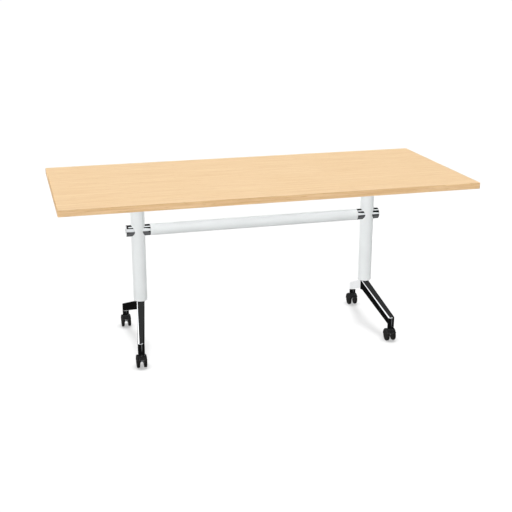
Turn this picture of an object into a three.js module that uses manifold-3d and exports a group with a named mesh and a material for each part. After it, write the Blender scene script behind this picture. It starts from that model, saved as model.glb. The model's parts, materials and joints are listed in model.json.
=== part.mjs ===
// Flip top training table: a board on two posts that tips upright, standing on four castors.
// Millimetres, +Z up. X runs along the table, the front edge faces -Y, and the floor is z = 0.

import * as THREE from "three";
import { mergeVertices } from "three/addons/utils/BufferGeometryUtils.js";
import Module from "manifold-3d";

const wasm = await Module();
wasm.setup();
const toRadians = THREE.MathUtils.degToRad;

// Tabletop
const boardLength = 1700;
const boardDepth = 740;
const boardThick = 25;
const tableHeight = 720;
const bandThick = 2;
const bandCorner = 3;

// Fits shared by all pieces
const glueGap = 0.1; // between the board and its edge band
const seatGap = 0.3; // between pieces that are fixed together
const runGap = 0.3; // between pieces that turn or slide on each other

// Posts
const postSpacing = 1016;
const postDiameter = 57;
const postWall = 2.5;
const postFoot = 210;

// Tilt heads, one in the top of each post
const pivotDrop = 40; // from the underside of the board down to the tilt axis
const pivotRise = 40; // from the flange of the head up to the tilt axis
const tongueWidth = 32;
const tongueDepth = 40;
const flangeThick = 4;
const headPlugLength = 40;
const pinDiameter = 12;
const pinHead = 18;
const pinHeadThick = 3;
const bushWall = 2;
const bushProud = 0.4; // stands out of the tongue as a thrust face for the cheeks

// Tilt brackets under the board
const plateLength = 120;
const plateDepth = 140;
const plateThick = 4;
const cheekThick = 5;
const cheekGap = 1;
const cheekRear = 26; // how far the cheek's root reaches behind the tilt axis
const eyeRadius = 17;
const tiltRange = 90;
const slotRadius = 27; // from the tilt axis to the clamp stud
const slotMargin = 7;
const slotRoom = 0.6; // play of the stud in its curved slot
const screwDiameter = 5;
const screwHead = 9.5;
const screwHeadDepth = 2.5;
const screwLength = 20;
const screwInset = 14;

// Clamp levers
const studDiameter = 8;
const studDepth = 24;
const leverHub = 22;
const leverHubLength = 15;
const leverRoot = 20; // height of the handle where it leaves the hub
const leverReach = 66;
const leverThick = 7;
const leverTip = 12;

// Stretcher between the posts, with a collar on each side of each post
const stretcherDrop = 204; // from the tabletop down to the axis of the stretcher
const stretcherDiameter = 48;
const stretcherWall = 2.2;
const collarReach = 50; // from the post's axis to the end of a collar
const collarChamfer = 1.5;
const tieDiameter = 10;
const tieHead = 16;
const tieHeadLength = 10;
const hexSocket = 8; // across corners, in the heads of the tie and foot bolts
const hexSocketDepth = 5;
const insertLength = 40;

// Feet
const castorSpread = 462; // between the front and rear castor stems of one foot
const castorOut = 37; // castor stems stand this far outboard of the post
const armTopHub = 209;
const armTopNose = 116;
const armDeepHub = 42;
const armDeepNose = 40;
const armWideHub = 33;
const noseDiameter = 29;
const hubDiameter = 34;
const hubDrop = 5; // hub reaches this far below the arms
const spigotLength = 40;
const footBolt = 10;
const footBoltHead = 16;
const footBoltHeadLength = 8;
const postNutThick = 14;

// Castors
const castorHeight = 57; // from the floor to the underside of the foot's nose
const castorTrail = 6;
const wheelDiameter = 50;
const wheelWidth = 11;
const wheelGap = 18;
const wheelEdge = 1.5;
const axleDiameter = 6;
const axleSunk = 1; // ends of the axle lie this far inside the wheels' outer faces
const stemDiameter = 10;
const stemGrip = 38; // length of stem inside the nose
const stemBoss = 14;
const bossLift = 1; // from the top of the axle boss to the underside of the stem boss
const bossFloor = 1;
const shoulderDiameter = 22;
const hoodThick = 3;
const treadGap = 1.8; // between the tread and the inside of the hood
const webThick = 3;
const webRoom = 0.5; // between a web of the hood and the wheel beside it
const axleBoss = 15;
const hoodRearEnd = -5; // angles round the axle, in degrees from the rear, over the top
const hoodFrontEnd = 148;
const hoodBrakedEnd = 129;
const webRearCorners = [30, 60, 90];
const webFrontCorners = [120, 140];
const webEyeFrom = 195;
const webEyeTo = 345;
const webNotch = 12; // webs of a braked castor reach this far in front of the pedal's hinge

// Brake pedals on the front castors
const pedalTopEnd = 136;
const pedalClear = 0.8;
const pedalReach = 8; // toe tab beyond the hood
const pedalTab = 26;
const pedalTabAngle = 9;
const padFrom = 140;
const padTo = 147;
const hingeRadius = 22.5; // from the axle to the pedal's hinge
const hingePin = 3;
const hingeKnuckle = 5;
const neckAngle = 8;

// Facets
const bite = 1; // how far shapes that are joined or cut run past the face where they meet
const fineSides = 24;
const wheelSides = 24;
const plainSides = 16;
const smallSides = 8;
const hexSides = 6;
const arcSag = 0.25; // most that a step of an arc lies inside its circle
const arcStep = 30; // most degrees to one step of an arc

// Heights and places that follow from the sizes above
const undersideZ = tableHeight - boardThick;
const pivotZ = undersideZ - pivotDrop;
const flangeZ = pivotZ - pivotRise;
const postTop = flangeZ - flangeThick - seatGap;
const postX = postSpacing / 2;
const postRadius = postDiameter / 2;
const postBore = postRadius - postWall;
const clampZ = pivotZ - slotRadius;
const cheekInner = tongueWidth / 2 + cheekGap;
const cheekOuter = cheekInner + cheekThick;
const bushRadius = pinDiameter / 2 + runGap + bushWall;
const stretcherZ = tableHeight - stretcherDrop;
const stretcherEnd = postX - collarReach - seatGap;
const collarRadius = stretcherDiameter / 2;
const insertRadius = collarRadius - stretcherWall - seatGap;
const stemY = castorSpread / 2;
const stemX = postX + castorOut;
const armLength = Math.hypot(castorOut, stemY);
const hubBottom = armTopHub - armDeepHub - hubDrop;
const spigotTop = postFoot + spigotLength;
const wheelRadius = wheelDiameter / 2;
const wheelCorner = wheelRadius / Math.cos(Math.PI / wheelSides); // a flat of the tread meets the floor
const hoodInner = wheelRadius + treadGap;
const hoodOuter = hoodInner + hoodThick;
const hoodHalf = wheelGap / 2 + wheelWidth;
const webOuter = wheelGap / 2 - webRoom;
const webInner = webOuter - webThick;
const axleY = castorTrail; // castor pieces stand round their stem axis, with the axle at the rear
const axleZ = wheelRadius;
const bossLow = axleZ + axleBoss / 2 + bossLift;
const hingeY = axleY + hingeRadius * Math.cos(toRadians(pedalTopEnd));
const hingeZ = axleZ + hingeRadius * Math.sin(toRadians(pedalTopEnd));

// Finishes
const finish = (color, roughness, metalness) =>
  new THREE.MeshStandardMaterial({ color, roughness, metalness });
const beech = () => finish(0xf5d5ac, 0.45, 0);
const beechBand = () => finish(0xe6be92, 0.5, 0);
const paleCoat = () => finish(0xe4e8e7, 0.4, 0.1);
const chrome = () => finish(0xc8cacc, 0.08, 1);
const zinc = () => finish(0xa9adb0, 0.4, 1);
const blackSteel = () => finish(0x2a2b2d, 0.5, 0.6);
const blackNylon = () => finish(0x1b1b1c, 0.5, 0);
const paleNylon = () => finish(0xd9d6cc, 0.6, 0);

// A geometry as a closed solid: corners merged, slivers dropped and faces turned outwards
function solidOf(geometry) {
  const bare = new THREE.BufferGeometry();
  const loose = geometry.index ? geometry.toNonIndexed() : geometry;
  bare.setAttribute("position", loose.getAttribute("position").clone());
  const merged = mergeVertices(bare, 1e-4);
  const corner = new THREE.Vector3();
  const next = new THREE.Vector3();
  const last = new THREE.Vector3();
  const faces = [];
  let volume = 0;
  for (let i = 0; i < merged.index.count; i += 3) {
    const [a, b, c] = [0, 1, 2].map((k) => merged.index.getX(i + k));
    if (a === b || b === c || c === a) continue;
    faces.push([a, b, c]);
    corner.fromBufferAttribute(merged.attributes.position, a);
    next.fromBufferAttribute(merged.attributes.position, b);
    last.fromBufferAttribute(merged.attributes.position, c);
    volume += corner.dot(next.cross(last));
  }
  const outward = volume < 0 ? faces.map(([a, b, c]) => [a, c, b]) : faces;
  return new wasm.Manifold(
    new wasm.Mesh({
      numProp: 3,
      vertProperties: new Float32Array(merged.attributes.position.array),
      triVerts: new Uint32Array(outward.flat()),
    }),
  );
}

function geometryOf(solid) {
  const mesh = solid.getMesh();
  const geometry = new THREE.BufferGeometry();
  geometry.setAttribute(
    "position",
    new THREE.BufferAttribute(new Float32Array(mesh.vertProperties), 3),
  );
  geometry.setIndex(
    new THREE.BufferAttribute(new Uint32Array(mesh.triVerts), 1),
  );
  geometry.computeVertexNormals();
  return geometry;
}

function piece(name, solid, material) {
  const mesh = new THREE.Mesh(geometryOf(solid), material);
  mesh.name = name;
  return mesh;
}

// Turns shapes drawn in (Y, Z) so that they are extruded along X
const alongX = new THREE.Matrix4().makeBasis(
  new THREE.Vector3(0, 1, 0),
  new THREE.Vector3(0, 0, 1),
  new THREE.Vector3(1, 0, 0),
);

// A (Y, Z) outline extruded between two X places
function slabX(outline, xFrom, xTo) {
  const geometry = new THREE.ExtrudeGeometry(outline, {
    depth: Math.abs(xTo - xFrom),
    bevelEnabled: false,
  });
  geometry.applyMatrix4(alongX);
  geometry.translate(Math.min(xFrom, xTo), 0, 0);
  return solidOf(geometry);
}

// An (X, Y) outline extruded between two heights
function slabZ(outline, zFrom, zTo) {
  const geometry = new THREE.ExtrudeGeometry(outline, {
    depth: zTo - zFrom,
    bevelEnabled: false,
  });
  geometry.translate(0, 0, zFrom);
  return solidOf(geometry);
}

// Upright bar with flats facing the axes, so that bars and bores of the same count lie parallel
function roundBar(radius, length, sides) {
  const levels = 1;
  const open = false;
  const start = Math.PI / sides;
  return new THREE.CylinderGeometry(radius, radius, length, sides, levels, open, start);
}

// Round bars along X and Z
function barX(radius, xFrom, xTo, y, z, sides = plainSides) {
  const geometry = roundBar(radius, Math.abs(xTo - xFrom), sides);
  geometry.rotateZ(Math.PI / 2);
  geometry.translate((xFrom + xTo) / 2, y, z);
  return solidOf(geometry);
}

function barZ(radius, zFrom, zTo, x = 0, y = 0, sides = plainSides) {
  const geometry = roundBar(radius, zTo - zFrom, sides);
  geometry.rotateX(Math.PI / 2);
  geometry.translate(x, y, (zFrom + zTo) / 2);
  return solidOf(geometry);
}

// A profile of [radius, height] points turned about Z, or about X with height along X
function turned(profile, sides, axis = "z") {
  const points = profile.map(
    ([radius, height]) => new THREE.Vector2(radius, height),
  );
  const geometry = new THREE.LatheGeometry(
    points,
    sides,
    Math.PI / sides,
    Math.PI * 2,
  );
  if (axis === "z") geometry.rotateX(Math.PI / 2);
  else geometry.rotateZ(-Math.PI / 2);
  return solidOf(geometry);
}

// Points of an arc between two angles in degrees
function arc(x, y, radius, from, to) {
  const sagStep = THREE.MathUtils.radToDeg(2 * Math.acos(1 - arcSag / Math.max(radius, 1)));
  const steps = Math.ceil(Math.abs(to - from) / Math.min(arcStep, sagStep));
  return Array.from({ length: steps + 1 }, (_, i) => {
    const angle = toRadians(from + ((to - from) * i) / steps);
    return [x + radius * Math.cos(angle), y + radius * Math.sin(angle)];
  });
}

// A closed anticlockwise outline through points, with repeated points left out
function outlineOf(points) {
  const corners = points.map(([x, y]) => new THREE.Vector2(x, y));
  const kept = corners.filter(
    (corner, i) => corner.distanceTo(corners[(i + 1) % corners.length]) > 1e-3,
  );
  if (THREE.ShapeUtils.isClockWise(kept)) kept.reverse();
  return new THREE.Shape(kept);
}

const circle = (x, y, radius) => outlineOf(arc(x, y, radius, 0, 360));

// A rectangle centred on the origin with round corners
function roundedRectangle(length, depth, corner) {
  const x = length / 2 - corner;
  const y = depth / 2 - corner;
  return outlineOf([
    ...arc(x, y, corner, 0, 90),
    ...arc(-x, y, corner, 90, 180),
    ...arc(-x, -y, corner, 180, 270),
    ...arc(x, -y, corner, 270, 360),
  ]);
}

// Part of a ring round (y, z) between two angles in degrees
const ringSector = (y, z, inner, outer, from, to) =>
  outlineOf([...arc(y, z, outer, from, to), ...arc(y, z, inner, to, from)]);

// Where the bracket screws stand round a post axis
const screwPlaces = [
  [-1, -1],
  [1, -1],
  [1, 1],
  [-1, 1],
].map(([x, y]) => [
  x * (plateLength / 2 - screwInset),
  y * (plateDepth / 2 - screwInset),
]);

const sides = [
  { name: "left", sign: -1 },
  { name: "right", sign: 1 },
];

// Board with pilot holes for the bracket screws
function tabletopBoard() {
  const inset = bandThick + glueGap;
  const outline = roundedRectangle(
    boardLength - 2 * inset,
    boardDepth - 2 * inset,
    bandCorner,
  );
  let board = slabZ(outline, undersideZ, tableHeight);
  for (const { sign } of sides)
    for (const [x, y] of screwPlaces)
      board = board.subtract(
        barZ(
          screwDiameter / 2 + seatGap,
          undersideZ - bite,
          undersideZ + screwLength - plateThick,
          sign * postX + x,
          y,
          smallSides,
        ),
      );
  return board;
}

function tabletopEdgeBand() {
  const outer = roundedRectangle(
    boardLength,
    boardDepth,
    bandCorner + bandThick,
  );
  const hole = roundedRectangle(
    boardLength - 2 * bandThick,
    boardDepth - 2 * bandThick,
    bandCorner,
  );
  outer.holes.push(hole);
  return slabZ(outer, undersideZ, tableHeight);
}

// Outline of a cheek round the tilt axis: a root on the plate, an eye and a quadrant for the slot
function cheekOutline(slotted) {
  const half = studDiameter / 2 + slotRoom;
  const end = half + slotMargin;
  const rim = slotRadius + end;
  const root = pivotZ + pivotDrop - plateThick / 2 - seatGap;
  const down = 270;
  const last = down - tiltRange;
  const shape = outlineOf([
    [cheekRear, root],
    [eyeRadius, pivotZ],
    ...arc(0, clampZ, end, 0, -90),
    ...arc(0, pivotZ, rim, down, last),
    [-rim, root],
  ]);
  if (slotted) {
    const endY = slotRadius * Math.cos(toRadians(last));
    const endZ = pivotZ + slotRadius * Math.sin(toRadians(last));
    const slot = outlineOf([
      ...arc(0, pivotZ, slotRadius + half, down, last),
      ...arc(endY, endZ, half, last, last - 180),
      ...arc(0, pivotZ, slotRadius - half, last, down),
      ...arc(0, clampZ, half, down - 180, down - 360),
    ]);
    shape.holes.push(slot);
  }
  shape.holes.push(circle(0, pivotZ, pinDiameter / 2 + seatGap));
  return shape;
}

// Screwed plate with two cheeks that straddle the tongue of the head
function tiltBracket(sign) {
  const x = sign * postX;
  const plateTop = undersideZ - seatGap;
  const outline = roundedRectangle(plateLength, plateDepth, screwInset / 2);
  let bracket = slabZ(outline, plateTop - plateThick, plateTop).translate([
    x,
    0,
    0,
  ]);
  const inner = slabX(
    cheekOutline(false),
    x - sign * cheekInner,
    x - sign * cheekOuter,
  );
  const outer = slabX(
    cheekOutline(true),
    x + sign * cheekInner,
    x + sign * cheekOuter,
  );
  bracket = bracket.add(inner).add(outer);
  const screwHole = turned(
    [
      [0, -bite],
      [screwHead / 2 + seatGap, -bite],
      [screwHead / 2 + seatGap, 0],
      [screwDiameter / 2 + seatGap, screwHeadDepth],
      [screwDiameter / 2 + seatGap, plateThick + bite],
      [0, plateThick + bite],
    ],
    smallSides,
  );
  for (const [dx, dy] of screwPlaces)
    bracket = bracket.subtract(
      screwHole.translate([x + dx, dy, plateTop - plateThick]),
    );
  return bracket;
}

// Countersunk screw standing on its head at z = 0, moved to its place in a plate
function bracketScrew(sign, [dx, dy]) {
  const head = screwHead / 2;
  const shank = screwDiameter / 2;
  const tip = screwDiameter / 6;
  const screw = turned(
    [
      [0, 0],
      [head, 0],
      [shank, screwHeadDepth],
      [shank, screwLength - screwDiameter],
      [tip, screwLength],
      [0, screwLength],
    ],
    smallSides,
  );
  return screw.translate([
    sign * postX + dx,
    dy,
    undersideZ - seatGap - plateThick,
  ]);
}

// Pin through cheeks and tongue, with a head on each end
function pivotPin(sign) {
  const x = sign * postX;
  const face = cheekOuter + seatGap;
  const reach = face + bite;
  const shank = barX(pinDiameter / 2, x - reach, x + reach, 0, pivotZ);
  const heads = [-1, 1].map((end) =>
    barX(
      pinHead / 2,
      x + end * face,
      x + end * (face + pinHeadThick),
      0,
      pivotZ,
    ),
  );
  return shank.add(heads[0]).add(heads[1]);
}

function pivotBush(sign) {
  const x = sign * postX;
  const half = tongueWidth / 2 + bushProud;
  const past = half + bite;
  return barX(bushRadius, x - half, x + half, 0, pivotZ).subtract(
    barX(pinDiameter / 2 + runGap, x - past, x + past, 0, pivotZ),
  );
}

// Plug, flange and tongue in the top of a post
function tiltHead(sign) {
  const x = sign * postX;
  const plug = barZ(
    postBore - seatGap,
    postTop - headPlugLength,
    flangeZ - flangeThick / 2,
    x,
    0,
    fineSides,
  );
  const flange = barZ(
    postRadius,
    flangeZ - flangeThick,
    flangeZ,
    x,
    0,
    fineSides,
  );
  const half = tongueDepth / 2;
  const root = flangeZ - flangeThick / 2;
  const outline = outlineOf([
    [-half, root],
    [half, root],
    ...arc(0, pivotZ, half, 0, 180),
  ]);
  outline.holes.push(circle(0, pivotZ, bushRadius + seatGap));
  const tongue = slabX(outline, x - tongueWidth / 2, x + tongueWidth / 2);
  const face = x + (sign * tongueWidth) / 2;
  const clampHole = barX(
    studDiameter / 2 + runGap,
    face + sign * bite,
    face - sign * (studDepth + runGap),
    0,
    clampZ,
  );
  return plug.add(flange).add(tongue).subtract(clampHole);
}

// Handle, hub and stud that clamp the slotted cheek to the tongue
function clampLever(sign) {
  const x = sign * postX;
  const hubFace = x + sign * (cheekOuter + runGap);
  const hub = barX(
    leverHub / 2,
    hubFace,
    hubFace + sign * leverHubLength,
    0,
    clampZ,
  );
  const stud = barX(
    studDiameter / 2,
    hubFace + sign * bite,
    x + sign * (tongueWidth / 2 - studDepth),
    0,
    clampZ,
    smallSides,
  );
  const outline = outlineOf([
    [0, clampZ - leverRoot / 2],
    ...arc(leverReach, clampZ, leverTip / 2, -90, 90),
    [0, clampZ + leverRoot / 2],
  ]);
  const outside = hubFace + sign * leverHubLength;
  const arm = slabX(outline, outside, outside - sign * leverThick);
  return hub.add(stud).add(arm);
}

// Tube with a cross hole for the tie bolt
function post(sign) {
  const x = sign * postX;
  const tube = turned(
    [
      [postBore, postFoot],
      [postRadius, postFoot],
      [postRadius, postTop],
      [postBore, postTop],
      [postBore, postFoot],
    ],
    fineSides,
  ).translate([x, 0, 0]);
  return tube.subtract(
    barX(
      tieDiameter / 2 + seatGap,
      x - postDiameter,
      x + postDiameter,
      0,
      stretcherZ,
      smallSides,
    ),
  );
}

function stretcherTube() {
  const bore = collarRadius - stretcherWall;
  return turned(
    [
      [bore, -stretcherEnd],
      [collarRadius, -stretcherEnd],
      [collarRadius, stretcherEnd],
      [bore, stretcherEnd],
      [bore, -stretcherEnd],
    ],
    fineSides,
    "x",
  ).translate([0, 0, stretcherZ]);
}

// Round collar with a saddle that fits the post, on the inner (-1) or outer (1) side of it
function collar(sign, side) {
  const x = sign * postX;
  const out = sign * side;
  const rod = turned(
    [
      [0, 0],
      [collarRadius, 0],
      [collarRadius, collarReach - collarChamfer],
      [collarRadius - collarChamfer, collarReach],
      [0, collarReach],
    ],
    fineSides,
    "x",
  );
  const placed = (out < 0 ? rod.rotate([0, 0, 180]) : rod).translate([
    x,
    0,
    stretcherZ,
  ]);
  const saddle = barZ(
    postRadius + seatGap,
    stretcherZ - stretcherDiameter,
    stretcherZ + stretcherDiameter,
    x,
    0,
    fineSides,
  );
  const end = x + out * (collarReach + bite);
  const hole = barX(
    tieDiameter / 2 + seatGap,
    x,
    end,
    0,
    stretcherZ,
    smallSides,
  );
  const made = placed.subtract(saddle).subtract(hole);
  if (side < 0) return made;
  return made.subtract(
    barX(
      tieHead / 2 + seatGap,
      x + out * (collarReach - tieHeadLength - seatGap),
      end,
      0,
      stretcherZ,
    ),
  );
}

// Socket screw from the outer collar, through the post and inner collar, into the stretcher
function tieBolt(sign) {
  const x = sign * postX;
  const headOut = x + sign * (collarReach - collarChamfer);
  const headIn = x + sign * (collarReach - tieHeadLength);
  const head = barX(tieHead / 2, headIn, headOut, 0, stretcherZ);
  const shank = barX(
    tieDiameter / 2,
    headIn + sign * bite,
    x - sign * (collarReach + insertLength - seatGap),
    0,
    stretcherZ,
    smallSides,
  );
  const socket = barX(
    hexSocket / 2,
    headOut + sign * bite,
    headOut - sign * hexSocketDepth,
    0,
    stretcherZ,
    hexSides,
  );
  return head.add(shank).subtract(socket);
}

// Tapped insert pressed into an end of the stretcher
function stretcherInsert(sign) {
  const end = sign * stretcherEnd;
  const inside = sign * (stretcherEnd - insertLength);
  return barX(insertRadius, inside, end, 0, stretcherZ, fineSides).subtract(
    barX(
      tieDiameter / 2 + seatGap,
      inside - sign * bite,
      end + sign * bite,
      0,
      stretcherZ,
      smallSides,
    ),
  );
}

// One arm of a foot along +Y before it is turned to its place, with the nose that takes a castor
function footArm() {
  const noseRadius = noseDiameter / 2;
  const slope = (armTopHub - armTopNose) / armLength;
  const underSlope =
    (armTopHub - armDeepHub - armTopNose + armDeepNose) / armLength;
  const frontTop = armTopNose - slope * noseRadius;
  const frontUnder = armTopNose - armDeepNose - underSlope * noseRadius;
  const side = slabX(
    outlineOf([
      [0, armTopHub],
      [armLength + noseRadius, frontTop],
      [armLength + noseRadius, frontUnder],
      [0, armTopHub - armDeepHub],
    ]),
    -armWideHub,
    armWideHub,
  );
  const plan = outlineOf([
    [-armWideHub / 2, 0],
    [armWideHub / 2, 0],
    ...arc(0, armLength, noseRadius, 0, 180),
  ]);
  const bar = side.intersect(slabZ(plan, castorHeight, armTopHub));
  const nose = slabZ(
    circle(0, armLength, noseRadius),
    castorHeight,
    armTopNose - armDeepNose / 2,
  );
  const socket = barZ(
    stemDiameter / 2 + runGap,
    castorHeight - bite,
    castorHeight + stemGrip + runGap,
    0,
    armLength,
  );
  return { body: bar.add(nose), socket };
}

// Cast foot: hub and spigot under the post, and two arms that splay outboard to the castors
function foot(sign) {
  const x = sign * postX;
  const hub = barZ(
    hubDiameter / 2,
    hubBottom,
    postFoot - seatGap,
    0,
    0,
    fineSides,
  );
  const spigot = barZ(
    postBore - seatGap,
    postFoot - seatGap - bite,
    spigotTop,
    0,
    0,
    fineSides,
  );
  let casting = hub.add(spigot);
  const sockets = [];
  const splay = THREE.MathUtils.radToDeg(Math.atan2(castorOut, stemY));
  for (const turn of [-sign * splay, 180 + sign * splay]) {
    const arm = footArm();
    casting = casting.add(arm.body.rotate([0, 0, turn]));
    sockets.push(arm.socket.rotate([0, 0, turn]));
  }
  for (const socket of sockets) casting = casting.subtract(socket);
  const boltHole = barZ(
    footBolt / 2 + seatGap,
    hubBottom - bite,
    spigotTop + bite,
    0,
    0,
    smallSides,
  );
  const counterbore = barZ(
    footBoltHead / 2 + seatGap,
    hubBottom - bite,
    hubBottom + footBoltHeadLength,
    0,
    0,
  );
  return casting.subtract(boltHole).subtract(counterbore).translate([x, 0, 0]);
}

// Disc welded inside the post, tapped for the foot bolt
function postNut(sign) {
  const x = sign * postX;
  const low = spigotTop + seatGap;
  return barZ(
    postBore - seatGap,
    low,
    low + postNutThick,
    x,
    0,
    fineSides,
  ).subtract(
    barZ(
      footBolt / 2 + seatGap,
      low - bite,
      low + postNutThick + bite,
      x,
      0,
      smallSides,
    ),
  );
}

function footBoltPiece(sign) {
  const x = sign * postX;
  const headTop = hubBottom + footBoltHeadLength - seatGap;
  const head = barZ(footBoltHead / 2, hubBottom, headTop, x, 0);
  const shank = barZ(
    footBolt / 2,
    headTop - bite,
    spigotTop + seatGap + postNutThick,
    x,
    0,
    smallSides,
  );
  const socket = barZ(
    hexSocket / 2,
    hubBottom - bite,
    hubBottom + hexSocketDepth,
    x,
    0,
    hexSides,
  );
  return head.add(shank).subtract(socket);
}

// Steel stem, fixed in the hood and turning in the nose of the foot
function castorStem() {
  return barZ(stemDiameter / 2, bossLow + bossFloor, castorHeight + stemGrip);
}

// Roof over both wheels, with two webs between them that carry the axle and the stem
function castorHood(braked) {
  const frontEnd = braked ? hoodBrakedEnd : hoodFrontEnd;
  const roof = slabX(
    ringSector(axleY, axleZ, hoodInner, hoodOuter, hoodRearEnd, frontEnd),
    -hoodHalf,
    hoodHalf,
  );
  const lip = hoodInner + hoodThick / 2;
  const at = (radius, degrees) => [
    axleY + radius * Math.cos(toRadians(degrees)),
    axleZ + radius * Math.sin(toRadians(degrees)),
  ];
  const front = braked
    ? [
        at(lip, hoodBrakedEnd),
        at(wheelRadius, hoodBrakedEnd),
        at(wheelRadius, pedalTopEnd + webNotch),
      ]
    : webFrontCorners.map((degrees) => at(lip, degrees));
  const web = outlineOf([
    ...webRearCorners.map((degrees) => at(lip, degrees)),
    ...front,
    ...arc(axleY, axleZ, axleBoss / 2, webEyeFrom, webEyeTo),
  ]);
  web.holes.push(circle(axleY, axleZ, axleDiameter / 2 + seatGap));
  if (braked) web.holes.push(circle(hingeY, hingeZ, hingePin / 2 + runGap));
  const shoulderTop = castorHeight - runGap;
  const boss = barZ(stemBoss / 2, bossLow, shoulderTop - bite);
  const shoulder = barZ(shoulderDiameter / 2, axleZ + lip, shoulderTop);
  return roof
    .add(slabX(web, webInner, webOuter))
    .add(slabX(web, -webOuter, -webInner))
    .add(boss)
    .add(shoulder)
    .subtract(
      barZ(
        stemDiameter / 2 + seatGap,
        bossLow + bossFloor - seatGap,
        shoulderTop + bite,
      ),
    );
}

function castorAxle() {
  const half = hoodHalf - axleSunk;
  return barX(axleDiameter / 2, -half, half, axleY, axleZ, smallSides);
}

// Wheel on one side (-1 or 1) of the webs
function castorWheel(side) {
  const bore = axleDiameter / 2 + runGap;
  const tread = wheelCorner;
  const wheel = turned(
    [
      [bore, 0],
      [tread - wheelEdge, 0],
      [tread, wheelEdge],
      [tread, wheelWidth - wheelEdge],
      [tread - wheelEdge, wheelWidth],
      [bore, wheelWidth],
      [bore, 0],
    ],
    wheelSides,
    "x",
  );
  const turnedOut = side < 0 ? wheel.rotate([0, 0, 180]) : wheel;
  return turnedOut.translate([(side * wheelGap) / 2, axleY, axleZ]);
}

// Pedal that closes the front of the hood, hinged between the webs, with a pad for the treads
function brakePedal() {
  const inner = wheelCorner + pedalClear;
  const shell = slabX(
    ringSector(axleY, axleZ, inner, hoodOuter, pedalTopEnd, hoodFrontEnd),
    -hoodHalf,
    hoodHalf,
  );
  const tab = slabX(
    ringSector(
      axleY,
      axleZ,
      hoodOuter - bite,
      hoodOuter + pedalReach,
      hoodFrontEnd - pedalTabAngle,
      hoodFrontEnd,
    ),
    -pedalTab / 2,
    pedalTab / 2,
  );
  const pad = slabX(
    ringSector(
      axleY,
      axleZ,
      wheelCorner + pedalClear / 2,
      inner + bite,
      padFrom,
      padTo,
    ),
    -hoodHalf,
    hoodHalf,
  );
  const half = webInner - runGap;
  const knuckle = barX(
    hingeKnuckle / 2,
    -half,
    half,
    hingeY,
    hingeZ,
    smallSides,
  );
  const neck = slabX(
    ringSector(
      axleY,
      axleZ,
      hingeRadius,
      inner + bite,
      pedalTopEnd,
      pedalTopEnd + neckAngle,
    ),
    -half,
    half,
  );
  const pin = barX(
    hingePin / 2,
    -webOuter,
    webOuter,
    hingeY,
    hingeZ,
    smallSides,
  );
  return shell.add(tab).add(pad).add(knuckle).add(neck).add(pin);
}

// Tabletop with its brackets, screws and pins
const table = new THREE.Group();
const tabletop = new THREE.Group();
table.add(tabletop);
tabletop.add(piece("tabletop_board", tabletopBoard(), beech()));
tabletop.add(piece("tabletop_edge_band", tabletopEdgeBand(), beechBand()));
for (const { name, sign } of sides) {
  tabletop.add(piece(`${name}_tilt_bracket`, tiltBracket(sign), blackSteel()));
  tabletop.add(piece(`${name}_pivot_pin`, pivotPin(sign), zinc()));
  screwPlaces.forEach((place, i) =>
    tabletop.add(
      piece(
        `${name}_bracket_screw_${i + 1}`,
        bracketScrew(sign, place),
        zinc(),
      ),
    ),
  );
}

// Frame: posts, heads, stretcher, collars and feet
const frame = new THREE.Group();
table.add(frame);
frame.add(piece("stretcher_tube", stretcherTube(), paleCoat()));
for (const { name, sign } of sides) {
  frame.add(piece(`${name}_post`, post(sign), paleCoat()));
  frame.add(piece(`${name}_tilt_head`, tiltHead(sign), blackSteel()));
  frame.add(piece(`${name}_pivot_bush`, pivotBush(sign), paleNylon()));
  frame.add(piece(`${name}_clamp_lever`, clampLever(sign), blackNylon()));
  frame.add(piece(`${name}_inner_collar`, collar(sign, -1), chrome()));
  frame.add(piece(`${name}_outer_collar`, collar(sign, 1), chrome()));
  frame.add(piece(`${name}_tie_bolt`, tieBolt(sign), zinc()));
  frame.add(piece(`${name}_stretcher_insert`, stretcherInsert(sign), zinc()));
  frame.add(piece(`${name}_foot`, foot(sign), chrome()));
  frame.add(piece(`${name}_foot_bolt`, footBoltPiece(sign), zinc()));
  frame.add(piece(`${name}_post_nut`, postNut(sign), zinc()));
}

// Castors, with pedals on the front pair
for (const { name, sign } of sides)
  for (const [end, y] of [
    ["front", -stemY],
    ["rear", stemY],
  ]) {
    const braked = end === "front";
    const castor = new THREE.Group();
    castor.position.set(sign * stemX, y, 0);
    table.add(castor);
    const label = `${end}_${name}`;
    castor.add(piece(`${label}_castor_stem`, castorStem(), zinc()));
    castor.add(piece(`${label}_castor_hood`, castorHood(braked), blackNylon()));
    castor.add(piece(`${label}_castor_axle`, castorAxle(), zinc()));
    castor.add(piece(`${label}_outer_wheel`, castorWheel(sign), blackNylon()));
    castor.add(piece(`${label}_inner_wheel`, castorWheel(-sign), blackNylon()));
    if (braked)
      castor.add(piece(`${label}_brake_pedal`, brakePedal(), blackNylon()));
  }

export default table;
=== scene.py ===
import json
import math

import bmesh
import bpy
import numpy as np
from mathutils import Matrix

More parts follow.
